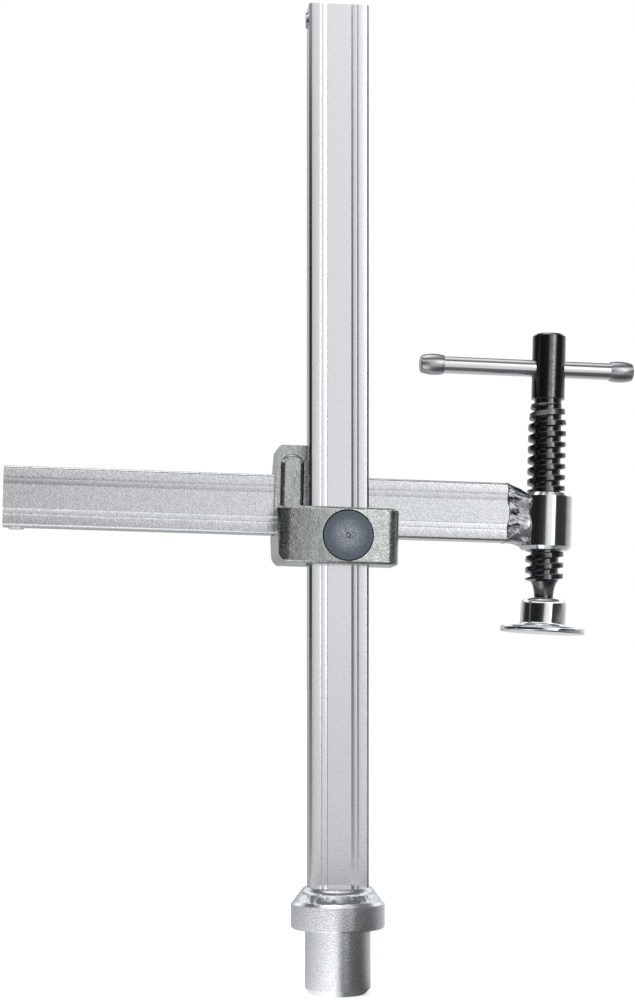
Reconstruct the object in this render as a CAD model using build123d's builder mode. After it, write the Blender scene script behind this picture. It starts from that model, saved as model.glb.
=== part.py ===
from build123d import *
from math import ceil, cos, radians, sin, tan
import os

os.makedirs("parts", exist_ok=True)

# Welding table fixture clamp, in millimetres and degrees.
# The origin is on the spigot's axis, in the plane of the table top.
# +Z is up the post, +X points to the spindle and +Y to the rear.

# Rails: the post and the arm are cut from the same profiled flat bar.
rail_width = 25.6
rail_thickness = 12.0
rail_corner = 1.4
groove_depth = 0.26
land_fall = 0.3
groove_inner_start = 5.0
groove_outer_start = 7.5
groove_slope_width = 1.1
groove_overcut = 1.0
stop_nose_height = 0.9
stop_nose_length = 7.6
stop_nose_width = 6.0
stop_nose_inset = 5.6
stop_nose_flank = 40.0

# Foot
spigot_diameter = 27.95
spigot_length = 27.8
spigot_chamfer = 2.4
collar_diameter = 40.0
collar_height = 10.4
collar_edge = 0.7
cone_height = 3.6
cone_top_diameter = 33.0
post_weld_height = 3.6
post_weld_flank = 1.1
post_weld_bulge = 0.4
post_top = 390.7

# Crosspiece: a band round the post in front and a band round the arm behind.
cant_angle = 1.3
arm_height = 179.9
slot_wall = 2.5
slot_play = 0.22
band_height = 23.8
side_wall = 12.1
arm_side_wall = 12.3
band_drop = 0.5
face_wall = 7.4
slot_corner = 1.0
band_end_round = 6.0
band_face_bow = 2.0
corner_round = 5.0
band_edge_round = 1.2
band_bulge = 1.0
boss_width = 10.0
boss_height = 24.6
boss_relief = 2.2
boss_round = 2.0
boss_inset = 1.3
boss_end_round = 4.5

# Pressure plug
plug_diameter = 21.6
plug_head = 3.4
plug_shank_diameter = 15.0
plug_play = 0.05
plug_gap = 0.12
plug_recess = 0.25
plug_dimple_diameter = 2.2
plug_dimple_depth = 0.7
plug_dimple_flank = 30.0
plug_chamfer = 0.5
plug_offset = 3.2
plug_teeth = 7
plug_tooth_depth = 0.5

# Arm, sleeve and weld
arm_tail = 141.0
arm_reach = 76.0
sleeve_gap = 17.4
sleeve_drop = 3.3
sleeve_diameter = 23.2
sleeve_height = 24.7
sleeve_chamfer = 1.5
arm_weld_lap = 1.0
arm_weld_proud = 0.35
arm_weld_bulge = 1.6
arm_weld_waist = 2.6
arm_weld_sag = 0.6
arm_weld_corner = 4.0
sleeve_weld_depth = 17.0
sleeve_weld_lap = 3.9

# Spindle
thread_major = 16.6
thread_minor = 12.2
thread_pitch = 4.8
thread_flank_angle = 15.0
thread_crest = 1.9
thread_clearance = 0.25
thread_bottom = -29.6
thread_relief = 2.4
thread_relief_depth = 0.15
thread_taper = 8.5
thread_start_diameter = 14.6
thread_end_chamfer = 0.9
thread_phase = 2.1
tool_overrun = 0.6
head_diameter = 14.5
head_length = 28.2
head_top = 78.7
head_chamfer = 0.9
bar_drop = 14.9
neck_top_diameter = 11.2
neck_waist_diameter = 9.2
neck_waist_drop = 2.9
pivot_diameter = 8.4
neck_length = 6.4

# Tommy bar
bar_diameter = 7.4
bar_play = 0.3
bar_left = 57.0
bar_right = 37.7
cap_diameter = 9.2
cap_length = 10.3
cap_end_diameter = 7.2
cap_mouth_diameter = 8.3
cap_bore_depth = 8.0
cap_belly_inset = 5.2
cap_end_round = 1.2
bar_end_chamfer = 0.5

# Pressure pad and its snap ring
pad_lean = 3.2
pad_height = 15.3
pad_diameter = 37.0
pad_flange = 2.8
pad_crown_diameter = 19.8
pad_crown_round = 3.0
pad_root_round = 1.8
pad_rim_round = 1.25
pad_sole_round = 0.85
pad_floor = 3.3
pad_gap = 0.7
pad_play = 0.15
pad_swing = 5.5
ring_wire = 1.2
ring_diameter = 8.7
ring_rise = 2.3
ring_opening = 40.0

# Values that follow from the sizes above
half_rail = rail_width / 2
half_thickness = rail_thickness / 2
sleeve_reach = arm_reach + sleeve_gap
arm_depth = rail_thickness + slot_wall + 2 * slot_play
cant_slope = tan(radians(cant_angle))
post_slot = rail_width + band_height * cant_slope + 2 * slot_play
arm_slot = rail_width + 2 * slot_play
slot_depth = rail_thickness + 2 * slot_play
cross_left = -(post_slot / 2 + side_wall)
cross_right = post_slot / 2 + side_wall
cross_bottom = -(arm_slot / 2 + arm_side_wall)
cross_top = arm_slot / 2 + arm_side_wall
band_bottom = cross_bottom - band_drop
band_top = band_bottom + band_height
band_middle = band_bottom + band_height / 2
band_left = cross_left - band_bulge
band_right = cross_left + band_height
front_face = -arm_depth - slot_depth / 2 - face_wall
rear_face = slot_depth / 2 + face_wall
post_slot_rear = -arm_depth + slot_depth / 2
arm_slot_front = -slot_depth / 2
foot_top = collar_height + cone_height
head_radius = head_diameter / 2
thread_root = thread_minor / 2
thread_depth = (thread_major - thread_minor) / 2
flank_rise = thread_depth * tan(radians(thread_flank_angle))
head_bottom = head_top - head_length
thread_top = head_bottom - thread_relief
bar_height = head_top - bar_drop
bar_inset = cap_length - cap_bore_depth
sleeve_bottom = -sleeve_height / 2 - sleeve_drop
neck_bottom = thread_bottom - neck_length
pad_top = neck_bottom - pad_gap
pad_bottom = pad_top - pad_height
pivot_radius = pivot_diameter / 2
socket_radius = pivot_radius + pad_play
pivot_centre = pad_bottom + pad_floor + socket_radius
ring_height = pivot_centre + ring_rise

# The canted frame: x along the arm, y to the rear, z up the spindle, from where the arm's axis
# crosses the plane of the post's axis.
cant = Plane(
    origin=(0, arm_depth, arm_height),
    x_dir=(cos(radians(cant_angle)), 0, -sin(radians(cant_angle))),
    z_dir=(sin(radians(cant_angle)), 0, cos(radians(cant_angle))),
)


def canted(along, depth, up):
    """A point of the canted frame."""
    return cant.from_local_coords(Vector(along, depth, up))


def across_arm(along):
    """A section plane across the arm: x to the rear, y up."""
    return Plane(canted(along, 0, 0), x_dir=cant.y_dir, z_dir=cant.x_dir)


def facing_front(depth, along=0.0, up=0.0):
    """A plane that faces the front: x along the arm, y up."""
    return Plane(canted(along, depth, up), x_dir=cant.x_dir, z_dir=-cant.y_dir)


def level_at(up, along=0.0):
    """A plane that faces up the spindle: x along the arm, y to the rear."""
    return Plane(canted(along, 0, up), x_dir=cant.x_dir, z_dir=cant.z_dir)


# The rail's profile: rounded corners, outer lands that fall away a little, and two saw-tooth
# grooves by each edge of both wide faces, each with a steep inner wall and a gentle slope.
with BuildSketch() as rail_section:
    land_start = groove_outer_start + groove_slope_width
    edge_half = half_thickness - land_fall
    Polygon(
        (land_start, half_thickness),
        (half_rail, edge_half),
        (half_rail, -edge_half),
        (land_start, -half_thickness),
        (-land_start, -half_thickness),
        (-half_rail, -edge_half),
        (-half_rail, edge_half),
        (-land_start, half_thickness),
        align=None,
    )
    fillet(rail_section.vertices().group_by(Axis.X)[0], radius=rail_corner)
    fillet(rail_section.vertices().group_by(Axis.X)[-1], radius=rail_corner)
    for face in (-1, 1):
        for side in (-1, 1):
            for start in (groove_inner_start, groove_outer_start):
                Polygon(
                    (side * start, face * (half_thickness + groove_overcut)),
                    (side * start, face * (half_thickness - groove_depth)),
                    (side * (start + groove_slope_width), face * half_thickness),
                    (side * (start + groove_slope_width), face * (half_thickness + groove_overcut)),
                    align=None,
                    mode=Mode.SUBTRACT,
                )

# Post rail, upright, with its stop nose on the narrow left side near the top
with BuildPart() as post_rail:
    with BuildSketch(Plane.XY.offset(foot_top)):
        add(rail_section.sketch)
    extrude(amount=post_top - foot_top)
    nose_place = Plane((-half_rail, 0, post_top - stop_nose_inset), x_dir=(0, 0, 1), z_dir=(-1, 0, 0))
    with BuildSketch(nose_place):
        SlotOverall(stop_nose_length, stop_nose_width)
    extrude(amount=stop_nose_height, taper=stop_nose_flank)
post_rail.part.label = "post_rail"
export_step(post_rail.part, "parts/post_rail.step")

# Foot: spigot, collar and cone in one turned piece
with BuildPart() as table_spigot:
    with BuildSketch(Plane.XZ):
        with BuildLine():
            Polyline(
                (0, -spigot_length),
                (spigot_diameter / 2 - spigot_chamfer, -spigot_length),
                (spigot_diameter / 2, -spigot_length + spigot_chamfer),
                (spigot_diameter / 2, 0),
                (collar_diameter / 2 - collar_edge, 0),
                (collar_diameter / 2, collar_edge),
                (collar_diameter / 2, collar_height),
                (cone_top_diameter / 2, foot_top),
                (0, foot_top),
                close=True,
            )
        make_face()
    revolve(axis=Axis.Z)
table_spigot.part.label = "table_spigot"
export_step(table_spigot.part, "parts/table_spigot.step")

# Weld bead from the cone's top edge up to the post
bead_foot = cone_top_diameter / 2
bead_crown = half_rail + post_weld_flank
bead_top = foot_top + post_weld_height
with BuildPart() as post_weld:
    with BuildSketch(Plane.XZ):
        with BuildLine():
            Line((0, bead_top), (0, foot_top))
            Line((0, foot_top), (bead_foot, foot_top))
            bead_belly = (
                (bead_foot + bead_crown) / 2 + post_weld_bulge,
                (foot_top + bead_top) / 2 + post_weld_bulge,
            )
            ThreePointArc((bead_foot, foot_top), bead_belly, (bead_crown, bead_top))
            Line((bead_crown, bead_top), (0, bead_top))
        make_face()
    revolve(axis=Axis.Z)
    with BuildSketch(Plane.XY.offset(foot_top)):
        add(rail_section.sketch)
    extrude(amount=2 * post_weld_height, mode=Mode.SUBTRACT)
post_weld.part.label = "post_weld"
export_step(post_weld.part, "parts/post_weld.step")

# Crosspiece: two crossed bands in one casting. Both share the barrel-shaped left side.
with BuildSketch() as bulged_block:
    with BuildLine():
        left_middle = (band_left, (band_bottom + cross_top) / 2)
        ThreePointArc((cross_left, cross_top), left_middle, (cross_left, band_bottom))
        Polyline(
            (cross_left, band_bottom),
            (cross_right, band_bottom),
            (cross_right, cross_top),
            (cross_left, cross_top),
        )
    make_face()
    fillet(bulged_block.vertices().sort_by_distance((cross_left, band_bottom))[0], corner_round)
    fillet(bulged_block.vertices().sort_by_distance((cross_left, cross_top))[0], 2 * band_edge_round)

with BuildPart() as arm_band:
    with BuildSketch(facing_front(rear_face)):
        add(bulged_block.sketch)
        with Locations((band_right, 0)):
            Rectangle(2 * cross_right, 4 * cross_top, align=(Align.MIN, Align.CENTER), mode=Mode.SUBTRACT)
        with Locations((0, cross_bottom)):
            Rectangle(4 * cross_right, 2 * band_height, align=(Align.CENTER, Align.MAX), mode=Mode.SUBTRACT)
    extrude(amount=rear_face - post_slot_rear)
    fillet(arm_band.faces().sort_by(Axis.Y)[-1].edges(), radius=band_edge_round)

with BuildPart() as post_band:
    with BuildSketch(level_at(band_bottom)) as band_plan:
        with BuildLine():
            ThreePointArc(
                (band_left, front_face + band_face_bow),
                ((band_left + cross_right) / 2, front_face),
                (cross_right, front_face + band_face_bow),
            )
            Polyline(
                (cross_right, front_face + band_face_bow),
                (cross_right, arm_slot_front),
                (band_left, arm_slot_front),
                (band_left, front_face + band_face_bow),
            )
        make_face()
        fillet(band_plan.vertices().group_by(Axis.Y)[0], radius=band_end_round)
    extrude(amount=band_height)
    for rim in (post_band.faces().sort_by(Axis.Z)[-1], post_band.faces().sort_by(Axis.Z)[0]):
        fillet(rim.edges().sort_by(Axis.Y)[:-1], radius=band_edge_round)
    with BuildSketch(facing_front(arm_slot_front)):
        add(bulged_block.sketch)
    extrude(amount=arm_slot_front - front_face, mode=Mode.INTERSECT)

# The rounded pad on the arm band's front, left of the post
with BuildPart() as slot_boss:
    with BuildSketch(facing_front(post_slot_rear + boss_relief)) as boss_outline:
        boss_middle = cross_left + boss_inset + boss_width / 2
        with Locations((boss_middle, band_top - band_edge_round + boss_height / 2)):
            Rectangle(boss_width, boss_height)
        fillet(boss_outline.vertices().group_by(Axis.Y)[-1], radius=boss_end_round)
    extrude(amount=2 * boss_relief)
    fillet(slot_boss.faces().sort_by(Axis.Y)[0].edges(), radius=boss_round)

with BuildPart() as crosspiece:
    add(arm_band.part)
    add(post_band.part)
    add(slot_boss.part)
    with BuildSketch(level_at(band_bottom)):
        with Locations((-band_middle * cant_slope, -arm_depth)):
            RectangleRounded(post_slot, slot_depth, slot_corner)
    extrude(amount=band_height, mode=Mode.SUBTRACT)
    with BuildSketch(across_arm(band_left)):
        RectangleRounded(slot_depth, arm_slot, slot_corner)
    extrude(amount=band_height + 2 * side_wall, mode=Mode.SUBTRACT)
    with BuildSketch(facing_front(front_face, plug_offset, band_middle)):
        Circle(plug_diameter / 2 + plug_play)
    extrude(amount=-plug_head, mode=Mode.SUBTRACT)
    with BuildSketch(facing_front(front_face, plug_offset, band_middle)):
        Circle(plug_shank_diameter / 2 + plug_play)
    extrude(amount=-face_wall - slot_corner, mode=Mode.SUBTRACT)
crosspiece.part.label = "crosspiece"
export_step(crosspiece.part, "parts/crosspiece.step")

# Pressure plug, square to the post, with a toothed end that bites on its front face
plug_middle = canted(plug_offset, 0, band_middle)
plug_front = arm_depth + front_face + plug_recess
with BuildPart() as pressure_plug:
    plug_face = Plane((plug_middle.X, plug_front, plug_middle.Z), x_dir=(1, 0, 0), z_dir=(0, -1, 0))
    with BuildSketch(plug_face):
        Circle(plug_diameter / 2)
    extrude(amount=-(plug_head - plug_recess - plug_play))
    with BuildSketch(plug_face):
        Circle(plug_shank_diameter / 2)
    extrude(amount=-(-half_thickness - plug_gap - plug_front))
    chamfer(pressure_plug.faces().sort_by(Axis.Y)[0].edges(), length=plug_chamfer)
    with BuildSketch(plug_face):
        Circle(plug_dimple_diameter / 2)
    extrude(amount=-plug_dimple_depth, taper=plug_dimple_flank, mode=Mode.SUBTRACT)
    tooth_pitch = plug_shank_diameter / plug_teeth
    plug_back = (plug_middle.X, -half_thickness - plug_gap, plug_middle.Z)
    tooth_side = Plane(plug_back, x_dir=(0, 1, 0), z_dir=(1, 0, 0))
    with BuildSketch(tooth_side):
        with GridLocations(0, tooth_pitch, 1, plug_teeth - 1):
            Polygon((0, tooth_pitch / 2), (0, -tooth_pitch / 2), (-plug_tooth_depth, 0), align=None)
    extrude(amount=plug_shank_diameter, both=True, mode=Mode.SUBTRACT)
pressure_plug.part.label = "pressure_plug"
export_step(pressure_plug.part, "parts/pressure_plug.step")

# Arm rail, with its stop nose on the lower narrow side near the tail
with BuildPart() as arm_rail:
    with BuildSketch(Plane(canted(-arm_tail, 0, 0), x_dir=-cant.z_dir, z_dir=cant.x_dir)):
        add(rail_section.sketch)
    extrude(amount=arm_tail + arm_reach)
    nose_middle = canted(stop_nose_inset - arm_tail, 0, -half_rail)
    with BuildSketch(Plane(nose_middle, x_dir=cant.x_dir, z_dir=-cant.z_dir)):
        SlotOverall(stop_nose_length, stop_nose_width)
    extrude(amount=stop_nose_height, taper=stop_nose_flank)
arm_rail.part.label = "arm_rail"
export_step(arm_rail.part, "parts/arm_rail.step")

# Arm weld: a lump from the arm's end to the sleeve, cut away where both stand
weld_sections = [
    (
        arm_reach - arm_weld_lap,
        0,
        rail_thickness + 2 * arm_weld_proud,
        rail_width + 2 * arm_weld_proud,
        rail_corner,
    ),
    (
        arm_reach + arm_weld_waist,
        -arm_weld_sag,
        sleeve_weld_depth - arm_weld_bulge,
        rail_width - arm_weld_proud,
        arm_weld_corner,
    ),
    (
        sleeve_reach - sleeve_diameter / 2 + sleeve_weld_lap,
        -sleeve_drop,
        sleeve_weld_depth,
        sleeve_height - arm_weld_lap,
        arm_weld_corner,
    ),
]
with BuildPart() as arm_weld:
    for along, rise, depth, height, corner in weld_sections:
        with BuildSketch(across_arm(along)):
            with Locations((0, rise)):
                RectangleRounded(depth, height, corner)
    loft()
    with BuildSketch(level_at(-sleeve_height, sleeve_reach)):
        Circle(sleeve_diameter / 2)
    extrude(amount=2 * sleeve_height, mode=Mode.SUBTRACT)
    with BuildSketch(Plane(canted(0, 0, 0), x_dir=-cant.z_dir, z_dir=cant.x_dir)):
        add(rail_section.sketch)
    extrude(amount=arm_reach, mode=Mode.SUBTRACT)
arm_weld.part.label = "arm_weld"
export_step(arm_weld.part, "parts/arm_weld.step")

# The spindle's axis and the helix of its thread
spindle_axis = Axis(canted(sleeve_reach, 0, 0), cant.z_dir)
spindle_side = facing_front(0, sleeve_reach)


def thread_cutter(path_from, turns, inner_radius, outer_radius, inner_half, outer_half):
    """The solid that a thread tool sweeps: an axial trapezoid, carried turn by turn along the helix."""
    with BuildPart() as cutter:
        with BuildLine() as path:
            for turn in range(ceil(turns)):
                turn_start = canted(sleeve_reach, 0, path_from + turn * thread_pitch)
                rise = thread_pitch * min(1, turns - turn)
                Helix(thread_pitch, rise, inner_radius, center=turn_start, direction=cant.z_dir)
        with BuildSketch(facing_front(0, sleeve_reach, path_from)):
            Polygon(
                (inner_radius, -inner_half),
                (outer_radius, -outer_half),
                (outer_radius, outer_half),
                (inner_radius, inner_half),
                align=None,
            )
        sweep(path=path.line, is_frenet=True)
    return cutter.part


# Spindle: turned blank first, then the coarse trapezoidal thread is cut into it
flank_slope = tan(radians(thread_flank_angle))
cutter_reach = thread_major / 2 + tool_overrun
gap_at_root = thread_pitch - thread_crest - 2 * flank_rise
gap_at_reach = gap_at_root + 2 * (cutter_reach - thread_root) * flank_slope
groove_phase = thread_phase + thread_pitch / 2
groove_start = groove_phase - thread_pitch * round((groove_phase - thread_bottom) / thread_pitch + 1)
groove_turns = (thread_top + thread_relief / 2 - groove_start) / thread_pitch
with BuildPart() as spindle:
    with BuildSketch(spindle_side):
        with BuildLine():
            Polyline(
                (0, head_top),
                (head_radius - head_chamfer, head_top),
                (head_radius, head_top - head_chamfer),
                (head_radius, head_bottom),
                (thread_root - thread_relief_depth, head_bottom),
                (thread_root - thread_relief_depth, thread_top),
                (thread_start_diameter / 2, thread_top),
                (thread_major / 2, thread_top - thread_taper),
                (thread_major / 2, thread_bottom + thread_end_chamfer),
                (neck_top_diameter / 2, thread_bottom),
            )
            ThreePointArc(
                (neck_top_diameter / 2, thread_bottom),
                (neck_waist_diameter / 2, thread_bottom - neck_waist_drop),
                (pivot_radius, neck_bottom),
            )
            Polyline(
                (pivot_radius, neck_bottom),
                (pivot_radius, ring_height + ring_wire / 2 + pad_play),
                (ring_diameter / 2 - ring_wire / 2 - pad_play, ring_height + ring_wire / 2 + pad_play),
                (ring_diameter / 2 - ring_wire / 2 - pad_play, ring_height - ring_wire / 2 - pad_play),
                (pivot_radius, ring_height - ring_wire / 2 - pad_play),
                (pivot_radius, pivot_centre),
            )
            RadiusArc((pivot_radius, pivot_centre), (0, pivot_centre - pivot_radius), pivot_radius)
            Line((0, pivot_centre - pivot_radius), (0, head_top))
        make_face()
    revolve(axis=spindle_axis)
    add(
        thread_cutter(
            groove_start,
            groove_turns,
            thread_root,
            cutter_reach,
            gap_at_root / 2,
            gap_at_reach / 2,
        ),
        mode=Mode.SUBTRACT,
    )
    with BuildSketch(across_arm(sleeve_reach)):
        with Locations((0, bar_height)):
            Circle((bar_diameter + bar_play) / 2)
    extrude(amount=head_diameter, both=True, mode=Mode.SUBTRACT)
spindle.part.label = "spindle"
export_step(spindle.part, "parts/spindle.step")

# Threaded sleeve: its thread leaves the same clearance round the spindle everywhere
nut_bore = thread_root + thread_clearance
nut_root = thread_major / 2 + thread_clearance
nut_cutter_bore = nut_bore - tool_overrun / 2
ridge_at_root = thread_crest + 2 * thread_clearance
ridge_at_bore = ridge_at_root + 2 * (nut_root - nut_cutter_bore) * flank_slope
nut_start = thread_phase - thread_pitch * round((thread_phase - sleeve_bottom) / thread_pitch + 1)
nut_turns = round(sleeve_height / thread_pitch) + 2
with BuildPart() as spindle_nut:
    with BuildSketch(level_at(sleeve_bottom, sleeve_reach)):
        Circle(sleeve_diameter / 2)
        Circle(nut_bore, mode=Mode.SUBTRACT)
    extrude(amount=sleeve_height)
    chamfer(spindle_nut.edges().filter_by(GeomType.CIRCLE).group_by(SortBy.RADIUS)[-1], length=sleeve_chamfer)
    add(
        thread_cutter(
            nut_start,
            nut_turns,
            nut_cutter_bore,
            nut_root,
            ridge_at_bore / 2,
            ridge_at_root / 2,
        ),
        mode=Mode.SUBTRACT,
    )
spindle_nut.part.label = "spindle_nut"
export_step(spindle_nut.part, "parts/spindle_nut.step")

# Tommy bar, with a barrel-shaped cap pressed on each end
with BuildPart() as tommy_bar:
    with BuildSketch(across_arm(sleeve_reach - bar_left + bar_inset)):
        with Locations((0, bar_height)):
            Circle(bar_diameter / 2)
    extrude(amount=bar_left + bar_right - 2 * bar_inset)
    chamfer(tommy_bar.edges().filter_by(GeomType.CIRCLE), length=bar_end_chamfer)
tommy_bar.part.label = "tommy_bar"
export_step(tommy_bar.part, "parts/tommy_bar.step")


def tommy_cap(outer_end, inward):
    """A cap whose closed end stands at outer_end along the arm, with its mouth inward of it."""
    with BuildPart() as cap:
        with BuildSketch(facing_front(0, outer_end, bar_height)) as cap_outline:
            with BuildLine():
                mouth = inward * cap_length
                bore_end = inward * bar_inset
                Line((0, 0), (0, cap_end_diameter / 2))
                ThreePointArc(
                    (0, cap_end_diameter / 2),
                    (inward * cap_belly_inset, cap_diameter / 2),
                    (mouth, cap_mouth_diameter / 2),
                )
                Polyline(
                    (mouth, cap_mouth_diameter / 2),
                    (mouth, bar_diameter / 2),
                    (bore_end, bar_diameter / 2),
                    (bore_end, 0),
                    (0, 0),
                )
            make_face()
            fillet(cap_outline.vertices().sort_by_distance((0, cap_end_diameter / 2))[0], cap_end_round)
        revolve(axis=Axis(canted(0, 0, bar_height), cant.x_dir))
    return cap.part


with BuildPart() as tommy_cap_left:
    add(tommy_cap(sleeve_reach - bar_left, 1))
tommy_cap_left.part.label = "tommy_cap_left"
export_step(tommy_cap_left.part, "parts/tommy_cap_left.step")

with BuildPart() as tommy_cap_right:
    add(tommy_cap(sleeve_reach + bar_right, -1))
tommy_cap_right.part.label = "tommy_cap_right"
export_step(tommy_cap_right.part, "parts/tommy_cap_right.step")

# Snap ring: a split wire ring in the spindle's groove
with BuildPart() as pad_snap_ring:
    with BuildSketch(spindle_side):
        with Locations((ring_diameter / 2, ring_height)):
            Circle(ring_wire / 2)
    revolve(axis=spindle_axis, revolution_arc=360 - ring_opening)
pad_snap_ring.part.label = "pad_snap_ring"
export_step(pad_snap_ring.part, "parts/pad_snap_ring.step")

# Pressure pad: it hangs from the spindle's round tip with its own lean
swing_centre = canted(sleeve_reach, 0, pivot_centre)
pad_up = Vector(sin(radians(pad_lean)), 0, cos(radians(pad_lean)))
pad_side = Plane(swing_centre, x_dir=(cos(radians(pad_lean)), 0, -sin(radians(pad_lean))), z_dir=(0, -1, 0))
swing_slope = tan(radians(pad_swing))
crown_up = pad_top - pivot_centre
sole_down = pad_bottom - pivot_centre
flange_up = sole_down + pad_flange
ring_room = ring_wire / 2 + ring_diameter / 2 * swing_slope + 2 * pad_play
ring_room_radius = (ring_diameter + ring_wire) / 2 + ring_rise * swing_slope + pad_play
with BuildPart() as pressure_pad:
    with BuildSketch(pad_side) as pad_outline:
        with BuildLine():
            Polyline(
                (0, -socket_radius),
                (0, sole_down),
                (pad_diameter / 2, sole_down),
                (pad_diameter / 2, flange_up),
                (pad_crown_diameter / 2, flange_up),
                (pad_crown_diameter / 2, crown_up),
                (socket_radius + crown_up * swing_slope, crown_up),
                (socket_radius + (ring_rise + ring_room) * swing_slope, ring_rise + ring_room),
                (ring_room_radius, ring_rise + ring_room),
                (ring_room_radius, ring_rise - ring_room),
                (socket_radius + (ring_rise - ring_room) * swing_slope, ring_rise - ring_room),
                (socket_radius, 0),
            )
            RadiusArc((socket_radius, 0), (0, -socket_radius), socket_radius)
        make_face()
        for corner, rounding in (
            ((pad_crown_diameter / 2, crown_up), pad_crown_round),
            ((pad_crown_diameter / 2, flange_up), pad_root_round),
            ((pad_diameter / 2, flange_up), pad_rim_round),
            ((pad_diameter / 2, sole_down), pad_sole_round),
        ):
            fillet(pad_outline.vertices().sort_by_distance(corner)[0], rounding)
    revolve(axis=Axis(swing_centre, pad_up))
pressure_pad.part.label = "pressure_pad"
export_step(pressure_pad.part, "parts/pressure_pad.step")
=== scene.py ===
"""Studio scene of a welding table fixture clamp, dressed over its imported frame.

The frame's own solids carry every main shape. This script gives each of them a smooth skin
and the finish of the real part, lays the weld beads, and sets the studio and the camera.
"""

from __future__ import annotations

import logging
import math
from dataclasses import dataclass, replace
from enum import Enum
from typing import Any

import bmesh
import bpy
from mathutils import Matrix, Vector

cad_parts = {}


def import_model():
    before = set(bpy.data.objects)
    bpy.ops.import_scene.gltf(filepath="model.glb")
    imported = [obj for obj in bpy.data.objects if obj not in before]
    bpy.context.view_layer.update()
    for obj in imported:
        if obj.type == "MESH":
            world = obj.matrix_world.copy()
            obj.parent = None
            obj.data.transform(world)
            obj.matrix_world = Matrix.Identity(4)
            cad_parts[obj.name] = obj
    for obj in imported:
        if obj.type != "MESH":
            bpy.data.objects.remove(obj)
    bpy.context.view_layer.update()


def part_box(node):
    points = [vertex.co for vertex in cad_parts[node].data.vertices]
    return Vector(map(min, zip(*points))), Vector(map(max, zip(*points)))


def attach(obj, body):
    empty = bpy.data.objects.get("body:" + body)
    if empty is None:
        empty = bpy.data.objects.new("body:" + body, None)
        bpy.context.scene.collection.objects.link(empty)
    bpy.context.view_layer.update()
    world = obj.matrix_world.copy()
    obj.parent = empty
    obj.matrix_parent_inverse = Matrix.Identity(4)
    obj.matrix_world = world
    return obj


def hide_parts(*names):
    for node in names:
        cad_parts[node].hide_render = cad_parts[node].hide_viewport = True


LOG = logging.getLogger("fixture_clamp")
MM = 0.001
FULL_TURN = 2 * math.pi
WHITE = (1.0, 1.0, 1.0, 1.0)
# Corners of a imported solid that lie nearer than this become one.
MERGE_MM = 0.002
# A cloudy pattern's height runs from 0 to 1. Colour and gloss change over within these parts of it.
TINT_BAND = (0.34, 0.66)
GLOSS_BAND = (0.3, 0.7)
# Layers of ever finer noise in the finishes' clouds, the foot weld's hand work and the arm weld's lumps.
CLOUD_DETAIL = 2.5
HAND_DETAIL = 3.0
LUMP_DETAIL = 1.0
# Places of the colour sockets on Blender's Mix node: its two colours and its result.
MIX_A, MIX_B, MIX_RESULT = 6, 7, 2

Levels = tuple[tuple[float, float], ...]


class Lay(Enum):
    """The direction in which a surface was drawn, as a turn about Y from straight up, in degrees."""

    UP_THE_POST = 0.0
    ALONG_THE_ARM = 91.3


def linear_colour(colour: str) -> tuple[float, float, float, float]:
    """Turns an sRGB hex colour to linear.

    Args:
        colour: The colour, such as "#C8CCD0".

    Returns:
        Red, green, blue and an alpha of 1.
    """
    parts = [int(colour[i : i + 2], 16) / 255 for i in (1, 3, 5)]
    red, green, blue = (c / 12.92 if c <= 0.04045 else ((c + 0.055) / 1.055) ** 2.4 for c in parts)
    return (red, green, blue, 1.0)


def add_node(
    tree: bpy.types.NodeTree,
    kind: str,
    links: dict[Any, Any] | None = None,
    stops: Levels = (),
    **settings: Any,
) -> bpy.types.Node:
    """Adds a node with its settings and links.

    Args:
        tree: The node tree of a material, the world or a modifier.
        kind: The node's type name.
        links: Input name or index to a value, to the socket that feeds it, or to a node whose
            first output feeds it.
        stops: Places and grey levels of a ramp, from its lowest place to its highest.
        **settings: The node's own properties.

    Returns:
        The new node.
    """
    node = tree.nodes.new(kind)
    for name, value in settings.items():
        setattr(node, name, value)
    for key, value in (links or {}).items():
        feed = value.outputs[0] if isinstance(value, bpy.types.Node) else value
        if isinstance(feed, bpy.types.NodeSocket):
            tree.links.new(feed, node.inputs[key])
        else:
            node.inputs[key].default_value = feed
    for index, (place, level) in enumerate(stops):
        ramp = node.color_ramp.elements
        if index == 0:
            ramp.remove(ramp[1])
        stop = ramp.new(place) if index else ramp[0]
        stop.position = place
        stop.color = (level, level, level, 1.0)
    return node


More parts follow.
